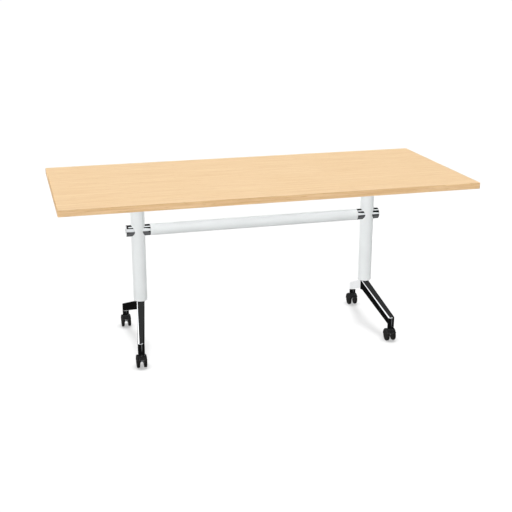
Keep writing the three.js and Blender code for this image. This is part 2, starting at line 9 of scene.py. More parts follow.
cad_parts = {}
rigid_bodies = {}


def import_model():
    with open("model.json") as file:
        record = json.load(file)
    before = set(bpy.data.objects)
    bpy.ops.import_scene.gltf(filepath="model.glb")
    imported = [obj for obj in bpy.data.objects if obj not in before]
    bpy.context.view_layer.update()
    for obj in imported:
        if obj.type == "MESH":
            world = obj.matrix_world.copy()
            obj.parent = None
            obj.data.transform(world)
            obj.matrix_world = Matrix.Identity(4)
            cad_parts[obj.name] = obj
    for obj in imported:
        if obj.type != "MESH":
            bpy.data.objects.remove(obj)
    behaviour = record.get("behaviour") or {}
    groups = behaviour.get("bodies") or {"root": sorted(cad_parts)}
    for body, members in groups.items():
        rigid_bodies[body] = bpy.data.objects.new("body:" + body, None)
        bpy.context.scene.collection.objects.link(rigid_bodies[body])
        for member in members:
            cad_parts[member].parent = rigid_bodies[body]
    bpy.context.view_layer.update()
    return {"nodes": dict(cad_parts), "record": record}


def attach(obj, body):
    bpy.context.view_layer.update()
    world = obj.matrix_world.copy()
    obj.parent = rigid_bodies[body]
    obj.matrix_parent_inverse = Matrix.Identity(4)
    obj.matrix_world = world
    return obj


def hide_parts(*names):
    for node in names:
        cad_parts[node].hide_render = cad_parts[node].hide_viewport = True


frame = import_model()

record = frame["record"]
nodes = frame["nodes"]
bodyOf = {node: body for body, members in record["behaviour"]["bodies"].items() for node in members}
mm = 0.001
sideSigns = {"left": -1, "right": 1}
endSigns = {"front": -1, "rear": 1}
print("frame loaded with", len(nodes), "nodes")


# Shapes, all in millimetres until addPiece

# Corner numbers of the quads of a grid whose rows or columns may close on themselves
def gridQuads(rows, columns, wrapRows, wrapColumns):
    i = np.arange(rows if wrapRows else rows - 1)[:, None]
    j = np.arange(columns if wrapColumns else columns - 1)[None, :]
    iNext = (i + 1) % rows
    jNext = (j + 1) % columns
    corners = [i * columns + j, i * columns + jNext, iNext * columns + jNext, iNext * columns + j]
    return np.stack(np.broadcast_arrays(*corners), -1).reshape(-1, 4)


# A grid of points as a list of corners with its quads
def shell(points, wrapRows=False, wrapColumns=True):
    rows, columns = points.shape[:2]
    return points.reshape(-1, 3), gridQuads(rows, columns, wrapRows, wrapColumns)


# Closed loops joined row by row, with the first and last drawn in to a point
def capped(loops, first=None, last=None):
    first = loops[0].mean(0) if first is None else np.asarray(first, float)
    last = loops[-1].mean(0) if last is None else np.asarray(last, float)
    start = np.broadcast_to(first, loops[:1].shape)
    end = np.broadcast_to(last, loops[:1].shape)
    return shell(np.concatenate([start, loops, end]))


# Two matching grids as the faces of a sheet, closed along all four of its edges
def thickSheet(outer, inner):
    loops = np.concatenate([outer, inner[:, ::-1]], axis=1)
    points, quads = shell(loops)
    columns = loops.shape[1]
    j = np.arange(outer.shape[1] - 1)
    near = np.stack([j, j + 1, columns - 2 - j, columns - 1 - j], -1)
    far = near + (len(loops) - 1) * columns
    return points, np.concatenate([quads, near, far])


# Every corner of a closed outline becomes an arc that touches both of its sides
def rounded(corners, radii, steps=5):
    corner = np.asarray(corners, float)
    radius = np.asarray(radii, float)
    before = np.roll(corner, 1, 0) - corner
    after = np.roll(corner, -1, 0) - corner
    before /= np.linalg.norm(before, axis=1, keepdims=True)
    after /= np.linalg.norm(after, axis=1, keepdims=True)
    half = np.arccos(np.clip((before * after).sum(1), -1, 1)) / 2
    middle = before + after
    middle /= np.linalg.norm(middle, axis=1, keepdims=True)
    centre = corner + middle * (radius / np.sin(half))[:, None]
    reach = (radius / np.tan(half))[:, None]
    start = corner + before * reach - centre
    end = corner + after * reach - centre
    sweep = (math.pi - 2 * half)[:, None]
    share = np.linspace(0, 1, steps + 1)[None, :]
    fromStart = (np.sin((1 - share) * sweep) / np.sin(sweep))[..., None]
    fromEnd = (np.sin(share * sweep) / np.sin(sweep))[..., None]
    arcs = centre[:, None] + fromStart * start[:, None] + fromEnd * end[:, None]
    return arcs.reshape(-1, 2)


# Four quarter circles that round off a rectangle: each point's angle, and the sides of its corner as 1 or -1
def quarterTurns(steps):
    quarter = np.radians(np.linspace(0, 90, steps))
    angle = (quarter[None, :] + np.arange(4)[:, None] * math.pi / 2).ravel()
    sideway = np.repeat([1, -1, -1, 1], steps)
    upward = np.repeat([1, 1, -1, -1], steps)
    return angle, sideway, upward


# A profile of (radius, height) turned a full circle about Z, or about X with its height along X.
# The radius may be a row for each height and a column for each angle.
def lathe(radius, height, place, axis="z", closed=True, sides=64):
    angle = np.arange(sides) * 2 * math.pi / sides
    radius = np.asarray(radius, float)
    radius = radius[:, None] if radius.ndim == 1 else radius
    along = np.broadcast_to(np.asarray(height, float)[:, None], (len(radius), sides))
    across = radius * np.cos(angle)
    upward = radius * np.sin(angle)
    order = [across, upward, along] if axis == "z" else [along, across, upward]
    return shell(np.stack(order, -1) + np.asarray(place, float), wrapRows=closed)


# A plain round bar along X, as long to both sides of its place
def barX(radius, half, place, sides):
    return lathe([0, radius, radius, 0], [-half, -half, half, half], place, "x", False, sides)


# A (Y, Z) outline carried along X between two places, its ends drawn in to one point of the outline's plane
def prismX(outline, middle, xFrom, xTo):
    flat = np.asarray(outline, float)
    loops = np.stack([np.insert(flat, 0, x, axis=1) for x in (xFrom, xTo)])
    return capped(loops, (xFrom, *middle), (xTo, *middle))


meshLook = {"weld": 1e-7, "bevelSteps": 3, "bevelFrom": 35, "sharpFrom": 38}


# Joins shells into one mesh: corners merged shell by shell, faces turned outwards, sharp edges kept
def addPiece(name, shells, material, bevel=0.0):
    whole = bmesh.new()
    for points, quads in shells:
        part = bpy.data.meshes.new("part")
        part.from_pydata((points * mm).tolist(), [], quads.tolist())
        tidy = bmesh.new()
        tidy.from_mesh(part)
        bmesh.ops.remove_doubles(tidy, verts=tidy.verts, dist=meshLook["weld"])
        bmesh.ops.dissolve_degenerate(tidy, edges=tidy.edges, dist=meshLook["weld"])
        bmesh.ops.recalc_face_normals(tidy, faces=tidy.faces)
        tidy.to_mesh(part)
        tidy.free()
        whole.from_mesh(part)
        bpy.data.meshes.remove(part)
    mesh = bpy.data.meshes.new(name)
    whole.to_mesh(mesh)
    whole.free()
    mesh.polygons.foreach_set("use_smooth", np.ones(len(mesh.polygons), bool))
    mesh.materials.append(material)
    piece = bpy.data.objects.new(name, mesh)
    bpy.context.scene.collection.objects.link(piece)
    if bevel:
        edge = piece.modifiers.new("softEdge", "BEVEL")
        edge.width = bevel * mm
        edge.segments = meshLook["bevelSteps"]
        edge.limit_method = "ANGLE"
        edge.angle_limit = math.radians(meshLook["bevelFrom"])
        edge.harden_normals = True
    else:
        mesh.set_sharp_from_angle(angle=math.radians(meshLook["sharpFrom"]))
    return piece


# A fine piece that stands for a node and moves with its body
def dress(node, shells, material, bevel=0.0):
    piece = addPiece(node + "_look", shells, material, bevel)
    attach(piece, bodyOf[node])
    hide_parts(node)


# Materials

# Hex sRGB text to linear light: a straight line near black and a power of 2.4 above it
def linear(hexText):
    channels = np.array([int(hexText[i:i + 2], 16) for i in (1, 3, 5)]) / 255
    light = np.where(channels <= 0.04045, channels / 12.92, ((channels + 0.055) / 1.055) ** 2.4)
    return (*light.tolist(), 1.0)


# Adds a node with its settings, and sets or links its sockets
def addNode(tree, kind, settings=None, sockets=None):
    node = tree.nodes.new(kind)
    for key, value in (settings or {}).items():
        setattr(node, key, value)
    for key, value in (sockets or {}).items():
        if isinstance(value, bpy.types.NodeSocket):
            tree.links.new(value, node.inputs[key])
        else:
            node.inputs[key].default_value = value
    return node


# A material with an empty node tree
def newMaterial(name):
    material = bpy.data.materials.new(name)
    material.use_nodes = True
    material.node_tree.nodes.clear()
    return material, material.node_tree


# Beech print laminate: pale straight streaks along the board with short darker flecks, satin sealed.
# Real flecks are about 3 mm long. They are drawn about ten times coarser so that they show.
# The streaks run along the board, and along the band at its short sides.
# Faces that look down are plain dark grey, a painted shade for the board's underside.
beechLook = {
    "pale": "#FDE0B8",
    "deep": "#EECA9C",
    "fleck": "#D6A871",
    # Painted shade of the underside, and the facing below which it is used
    "paintedUnderShade": "#4A4B4D",
    "paintedShadeBelow": -0.5,
    "shortSideFrom": 0.7,
    "streakLong": 300.0,
    "streakWide": 9.0,
    "fleckLong": 36.0,
    "fleckWide": 2.2,
    "fleckShare": 0.55,
    "roughness": (0.52, 0.62),
    "gloss": 0.12,
    "relief": 0.03,
}


# Two stretched noises: the long one mixes the pale and deep shades and the roughness, the short one adds the
# flecks and their relief. Faces that look down get a plain dark grey, painted shade for the underside.
def beechLaminate(name, look):
    material, tree = newMaterial(name)
    where = addNode(tree, "ShaderNodeTexCoord")
    facing = addNode(tree, "ShaderNodeSeparateXYZ", None, {0: where.outputs["Normal"]})
    parts = addNode(tree, "ShaderNodeSeparateXYZ", None, {0: where.outputs["Object"]})
    crossed = addNode(tree, "ShaderNodeCombineXYZ", None, {
        0: parts.outputs["Y"], 1: parts.outputs["X"], 2: parts.outputs["Z"]})
    aside = addNode(tree, "ShaderNodeMath", {"operation": "ABSOLUTE"}, {0: facing.outputs["X"]})
    shortSide = addNode(tree, "ShaderNodeMath", {"operation": "GREATER_THAN"}, {
        0: aside.outputs[0], 1: look["shortSideFrom"]})
    place = addNode(tree, "ShaderNodeMix", {"data_type": "VECTOR"}, {
        0: shortSide.outputs[0], 4: where.outputs["Object"], 5: crossed.outputs[0]}).outputs[1]
    streakSize = (look["streakLong"], look["streakWide"], look["streakWide"])
    fleckSize = (look["fleckLong"], look["fleckWide"], look["fleckWide"])
    streakScale = tuple(1 / (size * mm) for size in streakSize)
    fleckScale = tuple(1 / (size * mm) for size in fleckSize)
    streakPlace = addNode(tree, "ShaderNodeMapping", None, {"Vector": place, "Scale": streakScale})
    fleckPlace = addNode(tree, "ShaderNodeMapping", None, {"Vector": place, "Scale": fleckScale})
    streak = addNode(tree, "ShaderNodeTexNoise", None, {
        "Vector": streakPlace.outputs[0], "Scale": 1.0, "Detail": 4.0, "Roughness": 0.62,
        "Distortion": 0.25})
    fleck = addNode(tree, "ShaderNodeTexNoise", None, {
        "Vector": fleckPlace.outputs[0], "Scale": 1.0, "Detail": 2.0, "Roughness": 0.5})
    streakShare = addNode(tree, "ShaderNodeMapRange", None, {
        "Value": streak.outputs[0], "From Min": 0.3, "From Max": 0.7})
    fleckShare = addNode(tree, "ShaderNodeMapRange", None, {
        "Value": fleck.outputs[0], "From Min": 0.60, "From Max": 0.74, "To Max": look["fleckShare"]})
    wood = addNode(tree, "ShaderNodeMix", {"data_type": "RGBA"}, {
        0: streakShare.outputs[0], 6: linear(look["pale"]), 7: linear(look["deep"])})
    grained = addNode(tree, "ShaderNodeMix", {"data_type": "RGBA"}, {
        0: fleckShare.outputs[0], 6: wood.outputs[2], 7: linear(look["fleck"])})
    # Faces that look down take the dark grey of the painted underside shade
    under = addNode(tree, "ShaderNodeMath", {"operation": "LESS_THAN"}, {
        0: facing.outputs["Z"], 1: look["paintedShadeBelow"]})
    colour = addNode(tree, "ShaderNodeMix", {"data_type": "RGBA"}, {
        0: under.outputs[0], 6: grained.outputs[2], 7: linear(look["paintedUnderShade"])})
    rough = addNode(tree, "ShaderNodeMapRange", None, {
        "Value": streak.outputs[0], "To Min": look["roughness"][0], "To Max": look["roughness"][1]})
    relief = addNode(tree, "ShaderNodeBump", {"invert": True}, {
        "Height": fleck.outputs[0], "Strength": 0.4, "Distance": look["relief"] * mm})
    skin = addNode(tree, "ShaderNodeBsdfPrincipled", None, {
        "Base Color": colour.outputs[2], "Roughness": rough.outputs[0], "Normal": relief.outputs[0],
        "Specular IOR Level": look["gloss"]})
    addNode(tree, "ShaderNodeOutputMaterial", None, {"Surface": skin.outputs[0]})
    return material


# A skin with fine grain: two shades mixed by noise of a real grain size, with roughness and relief from it
def grainedSkin(name, look):
    material, tree = newMaterial(name)
    place = addNode(tree, "ShaderNodeTexCoord").outputs["Object"]
    stretch = addNode(tree, "ShaderNodeMapping", None, {
        "Vector": place, "Scale": look.get("stretch", (1, 1, 1))})
    grain = addNode(tree, "ShaderNodeTexNoise", None, {
        "Vector": stretch.outputs[0], "Scale": 1 / (look["grain"] * mm), "Detail": 3.0, "Roughness": 0.55})
    cloud = addNode(tree, "ShaderNodeTexNoise", None, {
        "Vector": place, "Scale": 1 / (look["cloud"] * mm), "Detail": 2.0})
    share = addNode(tree, "ShaderNodeMix", {"data_type": "FLOAT"}, {
        0: 0.5, 2: grain.outputs[0], 3: cloud.outputs[0]})
    spread = addNode(tree, "ShaderNodeMapRange", None, {
        "Value": share.outputs[0], "From Min": 0.35, "From Max": 0.65})
    colour = addNode(tree, "ShaderNodeMix", {"data_type": "RGBA"}, {
        0: spread.outputs[0], 6: linear(look["pale"]), 7: linear(look["deep"])})
    rough = addNode(tree, "ShaderNodeMapRange", None, {
        "Value": share.outputs[0], "From Min": 0.3, "From Max": 0.7,
        "To Min": look["roughness"][0], "To Max": look["roughness"][1]})
    relief = addNode(tree, "ShaderNodeBump", None, {
        "Height": grain.outputs[0], "Strength": look["bump"], "Distance": look["relief"] * mm})
    skin = addNode(tree, "ShaderNodeBsdfPrincipled", None, {
        "Base Color": colour.outputs[2], "Roughness": rough.outputs[0], "Normal": relief.outputs[0],
        "Metallic": look["metallic"], "Specular IOR Level": look.get("gloss", 0.5)})
    addNode(tree, "ShaderNodeOutputMaterial", None, {"Surface": skin.outputs[0]})
    return material


# ABS edge band: beech coloured plastic, printed with the same straight streaks, a shade deeper
# than the face
# The band's faces never take the painted underside shade
edgeLook = dict(beechLook, pale="#ECCBA0", deep="#D2AA79", fleck="#B98A52", fleckShare=0.7, paintedShadeBelow=-2)
# Powder coat on steel tube: pale grey, half gloss, with the slight orange peel of a baked coat
coatLook = {"pale": "#E4E7E7", "deep": "#DEE1E1", "grain": 2.4, "cloud": 90.0, "roughness": (0.34, 0.42),
            "bump": 0.12, "relief": 0.05, "metallic": 0.0}
# Polished chrome plate on a casting: mirror bright, with faint polishing haze
chromeLook = {"pale": "#D9DBDD", "deep": "#CFD2D4", "grain": 1.5, "cloud": 30.0, "roughness": (0.04, 0.09),
              "bump": 0.02, "relief": 0.01, "metallic": 1.0}
# Bright zinc plate on steel: grey, half dull, with drawn lines along X
zincLook = {"pale": "#C3C7CA", "deep": "#A3A8AC", "grain": 0.8, "cloud": 12.0, "stretch": (0.1, 1, 1),
            "roughness": (0.28, 0.42), "bump": 0.08, "relief": 0.02, "metallic": 1.0}
# Black powder coat on pressed steel: satin, finely textured
blackSteelLook = {"pale": "#303134", "deep": "#232427", "grain": 0.9, "cloud": 25.0,
                  "roughness": (0.42, 0.55), "bump": 0.3, "relief": 0.06, "metallic": 0.0}
# Moulded black nylon: dark satin with a spark eroded grain
blackNylonLook = {"pale": "#1B1B1C", "deep": "#131314", "grain": 0.7, "cloud": 18.0,
                  "roughness": (0.40, 0.54), "bump": 0.12, "relief": 0.04, "metallic": 0.0, "gloss": 0.25}
# Black polyurethane tread: duller and a little browner than the nylon
treadLook = {"pale": "#181716", "deep": "#11100F", "grain": 1.2, "cloud": 14.0, "roughness": (0.50, 0.64),
             "bump": 0.12, "relief": 0.05, "metallic": 0.0, "gloss": 0.2}
# Natural nylon bush: milky, matt
paleNylonLook = {"pale": "#DEDBD1", "deep": "#D2CEC2", "grain": 1.0, "cloud": 8.0, "roughness": (0.5, 0.62),
                 "bump": 0.1, "relief": 0.03, "metallic": 0.0}

beech = beechLaminate("beechLaminate", beechLook)
edgeAbs = beechLaminate("absEdgeBand", edgeLook)
paleCoat = grainedSkin("palePowderCoat", coatLook)
chrome = grainedSkin("polishedChrome", chromeLook)
zinc = grainedSkin("brightZincPlate", zincLook)
blackSteel = grainedSkin("blackPowderCoat", blackSteelLook)
blackNylon = grainedSkin("blackMouldedNylon", blackNylonLook)
tread = grainedSkin("blackUrethaneTread", treadLook)
paleNylon = grainedSkin("naturalNylon", paleNylonLook)
print("materials made")


# Tabletop

topSizes = {
    "length": 1700, "depth": 740, "under": 695, "face": 720, "band": 2, "corner": 5, "edgeRadius": 1.2,
    "gluedEdge": 0.05,
}


# A small section with round edges, carried round the outline of the board
def edgeBand(s):
    angle, sideway, upward = quarterTurns(9)
    outward = np.stack([np.cos(angle), np.sin(angle)], -1)
    signs = np.stack([sideway, upward], -1)
    centre = signs * (np.array([s["length"], s["depth"]]) / 2 - s["corner"])
    inner = s["corner"] - s["band"]
    section = rounded(
        [[inner, s["under"]], [s["corner"], s["under"]], [s["corner"], s["face"]], [inner, s["face"]]],
        [s["gluedEdge"], s["edgeRadius"], s["edgeRadius"], s["gluedEdge"]])
    plan = centre[:, None] + outward[:, None] * section[None, :, :1]
    height = np.broadcast_to(section[None, :, 1:], (*plan.shape[:2], 1))
    return shell(np.concatenate([plan, height], -1), wrapRows=True)


dress("tabletop_edge_band", [edgeBand(topSizes)], edgeAbs)
nodes["tabletop_board"].data.materials[0] = beech
print("tabletop done")


# Posts, stretcher and collars

# Round tube: the section of its wall, rounded at the rims, turned about the axis
def tube(s, low, high, place, axis):
    section = [[s["bore"], low], [s["radius"], low], [s["radius"], high], [s["bore"], high]]
    profile = rounded(section, s["rims"])
    return lathe(profile[:, 0], profile[:, 1], place, axis, sides=96)


postSizes = {"x": 508, "radius": 28.5, "bore": 26, "foot": 210, "head": 610.7, "rims": (0.2, 2.2, 0.6, 0.2)}


# Tube from the foot's hub up to the flange of the tilt head
def post(s, sign):
    return tube(s, s["foot"], s["head"], (sign * s["x"], 0, 0), "z")


stretcherSizes = {"z": 516, "radius": 24, "bore": 21.8, "half": 457.7, "rims": (0.2, 0.6, 0.6, 0.2)}


# Tube along X between the two inner collars
def stretcher(s):
    return tube(s, -s["half"], s["half"], (0, 0, s["z"]), "x")


collarSizes = {
    "reach": 50, "edge": 1.8, "innerEdge": 0.9, "bore": 5.3, "sink": 8.3, "sinkDepth": 10.3, "sinkEdge": 0.5,
    "saddleGap": 0.3, "wallFrom": 1, "sides": 80, "saddleRows": 14,
}


# Turned collar: from the bore outwards over a saddle that follows the round post, along the wall and round
# the end, then back along the bore. The saddle stands at the root of (post radius squared less y squared).
def collar(s, sign, side):
    sides = s["sides"]
    angle = np.arange(sides) * 2 * math.pi / sides
    rho = np.linspace(s["bore"], stretcherSizes["radius"], s["saddleRows"])[:, None]
    postReach = postSizes["radius"] + s["saddleGap"]
    saddleX = np.sqrt(postReach ** 2 - (rho * np.cos(angle)) ** 2)
    saddleRho = np.broadcast_to(rho, saddleX.shape)
    outer = stretcherSizes["radius"]
    start = postReach + s["wallFrom"]
    if side > 0:
        deep = s["reach"] - s["sinkDepth"]
        corners = [[outer, start], [outer, s["reach"]], [s["sink"], s["reach"]], [s["sink"], deep],
                   [s["bore"], deep], [s["bore"], start]]
        radii = [0, s["edge"], s["sinkEdge"], 0, 0, 0]
    else:
        corners = [[outer, start], [outer, s["reach"]], [s["bore"], s["reach"]], [s["bore"], start]]
        radii = [0, s["innerEdge"], 0, 0]
    profile = rounded(corners, radii)
    endRho = np.broadcast_to(profile[:, :1], (len(profile), sides))
    endX = np.broadcast_to(profile[:, 1:], (len(profile), sides))
    along = np.concatenate([saddleX, endX])
    radius = np.concatenate([saddleRho, endRho])
    points = np.stack([
        sign * postSizes["x"] + sign * side * along,
        radius * np.cos(angle),
        stretcherSizes["z"] + radius * np.sin(angle),
    ], -1)
    return shell(points, wrapRows=True)


boltSizes = {
    "shank": 5, "head": 8, "headLength": 8.5, "edge": 1.0, "tipEdge": 0.8, "underEdge": 0.3, "hexCorner": 4,
    "hexDepth": 5, "hexFlare": 0.6, "flareDepth": 0.4, "sides": 96,
}
tieBoltSizes = dict(boltSizes, sunk=1.5, past=39.7)
footBoltSizes = dict(boltSizes, headLength=7.7, length=102.3, tip=264.3)


# Socket screw as rows of (radius, height) from the tip to the bottom of the hexagon.
# The hexagon's radius is its flat's distance over the cosine of the angle from that flat.
def socketScrew(s, length):
    angle = np.arange(s["sides"]) * 2 * math.pi / s["sides"]
    flat = s["hexCorner"] * math.cos(math.pi / 6)
    hexagon = flat / np.cos(np.mod(angle, math.pi / 3) - math.pi / 6)
    low = length - s["headLength"]
    profile = rounded(
        [[0, 0], [s["shank"], 0], [s["shank"], low], [s["head"], low], [s["head"], length],
         [s["hexCorner"] + s["hexFlare"], length]],
        [0, s["tipEdge"], 0, s["underEdge"], s["edge"], 0])
    radius = np.broadcast_to(profile[:, :1], (len(profile), s["sides"]))
    radius = np.concatenate([radius, hexagon[None], hexagon[None], np.zeros((1, s["sides"]))])
    bottom = length - s["hexDepth"]
    height = np.concatenate([profile[:, 1], [length - s["flareDepth"], bottom, bottom]])
    return radius, height


# Head in the sink of the outer collar, tip past the inner collar in the stretcher's insert
def tieBolt(s, sign):
    headOut = collarSizes["reach"] - s["sunk"]
    tip = -(collarSizes["reach"] + s["past"])
    radius, height = socketScrew(s, headOut - tip)
    place = (sign * postSizes["x"], 0, stretcherSizes["z"])
    return lathe(radius, sign * (height + tip), place, axis="x", closed=False, sides=s["sides"])


# Head in the sink under the foot's hub, tip up in the post nut
def footBolt(s, sign):
    radius, height = socketScrew(s, s["length"])
    place = (sign * postSizes["x"], 0, 0)
    return lathe(radius, s["tip"] - height, place, closed=False, sides=s["sides"])


dress("stretcher_tube", [stretcher(stretcherSizes)], paleCoat)
for side, sign in sideSigns.items():
    dress(f"{side}_post", [post(postSizes, sign)], paleCoat)
    dress(f"{side}_inner_collar", [collar(collarSizes, sign, -1)], chrome)
    dress(f"{side}_outer_collar", [collar(collarSizes, sign, 1)], chrome)
    dress(f"{side}_tie_bolt", [tieBolt(tieBoltSizes, sign)], zinc)
    dress(f"{side}_foot_bolt", [footBolt(footBoltSizes, sign)], zinc)
print("posts, stretcher and collars done")


# Feet

footSizes = {
    "out": 37, "spread": 231, "topHub": 209, "topNose": 116, "deepHub": 42, "deepNose": 40, "wideHub": 33,
    "nose": 14.5, "noseFoot": 57, "hubEdge": 3, "topEdge": 9, "underEdge": 3, "noseEdge": 1.2,
    "noseTopEdge": 3, "rearSunk": 8, "hub": 17, "hubFoot": 162, "bore": 5.3, "sink": 8.3, "sinkHead": 170,
    "spigot": 25.7, "spigotFoot": 208.7, "spigotHead": 250, "turnedEdges": (0.5, 2.5, 0, 0.8, 0.6, 0, 0, 0),
}


# Arm as a row of upright rounded rectangles that shrink and sink in a straight line towards the nose,
# with top edges that grow rounder on the way
def footArm(s, length):
    along = np.linspace(0, length, 30)[:, None]
    share = along / length
    wide = (s["wideHub"] + (2 * s["nose"] - s["wideHub"]) * share) / 2
    top = s["topHub"] + (s["topNose"] - s["topHub"]) * share
    under = top - s["deepHub"] + (s["deepHub"] - s["deepNose"]) * share
    angle, sideway, upward = quarterTurns(9)
    upper = upward > 0
    edge = np.where(upper, s["hubEdge"] + (s["topEdge"] - s["hubEdge"]) * share, s["underEdge"])
    across = sideway * (wide - edge) + edge * np.cos(angle)
    height = np.where(upper, top - edge, under + edge) + edge * np.sin(angle)
    return np.stack([across, np.broadcast_to(along, across.shape), height], -1)


# Nose: the end section of the arm turned about the castor stem. Its top slopes on as the arm's does, and the
# slope fades downwards with the fourth power of the height. The top edge is as round as the arm's at the
# sides and sharper in front. The rear half is sunk into the arm.
def footNose(s, length):
    front = np.radians(np.linspace(-90, 90, 41))
    rear = np.radians(np.linspace(91, 269, 31))
    angle = np.concatenate([front, rear])
    top = s["topNose"]
    quarter = np.radians(np.linspace(0, 90, 9))[:, None]
    grid = (len(quarter), len(angle))
    edge = s["noseTopEdge"] + (s["topEdge"] - s["noseTopEdge"]) * np.sin(angle) ** 2
    lowRadius = np.broadcast_to(s["nose"] - s["noseEdge"] * (1 - np.sin(quarter)), grid)
    lowHeight = np.broadcast_to(s["noseFoot"] + s["noseEdge"] * (1 - np.cos(quarter)), grid)
    middle = np.zeros((1, len(angle)))
    radius = np.concatenate([middle, lowRadius, s["nose"] - edge * (1 - np.cos(quarter)), middle])
    height = np.concatenate([
        middle + s["noseFoot"], lowHeight, top - edge * (1 - np.sin(quarter)), middle + top])
    forward = radius * np.cos(angle)
    lift = np.clip((height - s["noseFoot"]) / (top - s["noseFoot"]), 0, 1) ** 4
    slope = (s["topHub"] - s["topNose"]) / length
    sunk = np.concatenate([np.zeros(len(front)), np.full(len(rear), s["rearSunk"])])
    height = height - lift * (slope * forward + sunk)
    return np.stack([radius * np.sin(angle), length + forward, height], -1)


# Turns a point set from along +Y to the arm's own direction
def turnArm(points, ahead):
    flatAhead = np.array([ahead[0], ahead[1], 0]) / math.hypot(*ahead)
    flatAcross = np.array([flatAhead[1], -flatAhead[0], 0])
    upward = np.array([0, 0, 1])
    return points[..., :1] * flatAcross + points[..., 1:2] * flatAhead + points[..., 2:] * upward


# Foot: a hub and spigot turned about the post's axis, and an arm with its nose to the front and to the rear
def foot(s, sign):
    hub = rounded(
        [[s["sink"], s["hubFoot"]], [s["hub"], s["hubFoot"]], [s["hub"], s["spigotFoot"]],
         [s["spigot"], s["spigotFoot"]], [s["spigot"], s["spigotHead"]], [s["bore"], s["spigotHead"]],
         [s["bore"], s["sinkHead"]], [s["sink"], s["sinkHead"]]],
        s["turnedEdges"])
    centre = np.array([sign * postSizes["x"], 0, 0])
    shells = [lathe(hub[:, 0], hub[:, 1], centre, sides=96)]
    length = math.hypot(s["out"], s["spread"])
    for way in endSigns.values():
        ahead = (sign * s["out"], way * s["spread"])
        shells.append(capped(turnArm(footArm(s, length), ahead) + centre))
        shells.append(shell(turnArm(footNose(s, length), ahead) + centre))
    return shells


for side, sign in sideSigns.items():
    dress(f"{side}_foot", foot(footSizes, sign), chrome)
print("feet done")


# Castors

castorSizes = {
    "x": 545, "y": 231, "trail": 6, "axle": 25, "wheel": 25, "half": 20, "roofIn": 26.8, "roofOut": 29.8,
    "roofEdge": 2.7, "roofLip": 0.3, "rearEnd": -5, "frontEnd": 148, "brakedEnd": 129, "webOut": 8.5,
    "webIn": 5.5, "webRear": 30, "webFront": 140, "eye": 7.5, "eyeFront": 195, "eyeRear": 345, "lip": 28.3,
    "boss": 7, "bossFoot": 33.5, "bossEdge": 0.8, "shoulder": 11, "shoulderFoot": 53.3, "shoulderHead": 56.7,
}


# Points round the axle: angle in degrees from the rear, over the top
def roundAxle(s, radius, degrees):
    angle = np.radians(degrees)
    return s["trail"] + radius * np.cos(angle), s["axle"] + radius * np.sin(angle)


# Roof: an arc round the axle whose outer face falls away in a quarter ellipse at both sides
def roofSheet(s, fromAngle, toAngle, inner):
    grid = (40, 41)
    across = s["half"] * np.sin(np.radians(np.linspace(-90, 90, grid[1])))[None, :]
    degrees = np.linspace(fromAngle, toAngle, grid[0])[:, None]
    past = np.clip((np.abs(across) - s["half"] + s["roofEdge"]) / s["roofEdge"], 0, 1)
    outer = s["roofOut"] - (s["roofEdge"] - s["roofLip"]) * (1 - np.sqrt(1 - past ** 2))
    outer = np.broadcast_to(outer, grid)
    inner = np.broadcast_to(inner, grid)
    wide = np.broadcast_to(across, grid)
    outerY, outerZ = roundAxle(s, outer, degrees)
    innerY, innerZ = roundAxle(s, inner, degrees)
    return thickSheet(np.stack([wide, outerY, outerZ], -1), np.stack([wide, innerY, innerZ], -1))


# Hood: the roof, two webs from the roof down to the axle, and a turned boss for the stem.
# A braked hood's roof stops short and its webs have a notch, to leave room for the pedal.
def castorHood(s, braked):
    frontEnd = s["brakedEnd"] if braked else s["frontEnd"]
    shells = [roofSheet(s, s["rearEnd"], frontEnd, s["roofIn"])]
    rim = np.linspace(s["webRear"], s["brakedEnd"] if braked else s["webFront"], 16)
    eye = np.linspace(s["eyeFront"], s["eyeRear"], 20)
    notch = np.array([s["brakedEnd"], s["frontEnd"]]) if braked else np.array([])
    degrees = np.concatenate([rim, notch, eye])
    radius = np.repeat([s["lip"], s["wheel"], s["eye"]], [len(rim), len(notch), len(eye)])
    outline = np.stack(roundAxle(s, radius, degrees), -1)
    for way in (-1, 1):
        shells.append(prismX(outline, (s["trail"], s["axle"]), way * s["webIn"], way * s["webOut"]))
    boss = rounded(
        [[0, s["bossFoot"]], [s["boss"], s["bossFoot"]], [s["boss"], s["shoulderFoot"]],
         [s["shoulder"], s["shoulderFoot"]], [s["shoulder"], s["shoulderHead"]], [0, s["shoulderHead"]]],
        [0, s["bossEdge"], 0, 0, s["bossEdge"], 0])
    shells.append(lathe(boss[:, 0], boss[:, 1], (0, 0, 0), closed=False))
    return shells


wheelSizes = {
    "inner": 9, "outer": 20, "bore": 3.3, "boreEdge": 0.3, "edge": 2.2, "rim": 20.5, "dish": 1.6,
    "dishEdge": 0.4, "slant": 1, "cap": 6.5, "capThick": 0.9, "capEdge": 0.6,
}


# Wheel: a turned section with round tread edges, a dished outer face and a cap over the end of the axle.
# It starts on the axis inside the cap and ends on the axis at the cap's outer face.
def castorWheel(s, way):
    radius = castorSizes["wheel"]
    dished = s["outer"] - s["dish"]
    inCap = s["outer"] - s["capThick"]
    corners = [[0, inCap], [s["bore"], inCap], [s["bore"], s["inner"]], [radius, s["inner"]],
               [radius, s["outer"]], [s["rim"], s["outer"]], [s["rim"] - s["slant"], dished],
               [s["cap"] + s["slant"], dished], [s["cap"], s["outer"]], [0, s["outer"]]]
    dishEdge = s["dishEdge"]
    radii = [0, 0, s["boreEdge"], s["edge"], s["edge"], dishEdge, dishEdge, dishEdge, s["capEdge"], 0]
    profile = rounded(corners, radii)
    place = (0, castorSizes["trail"], castorSizes["axle"])
    return lathe(profile[:, 0], way * profile[:, 1], place, axis="x", closed=False, sides=96)


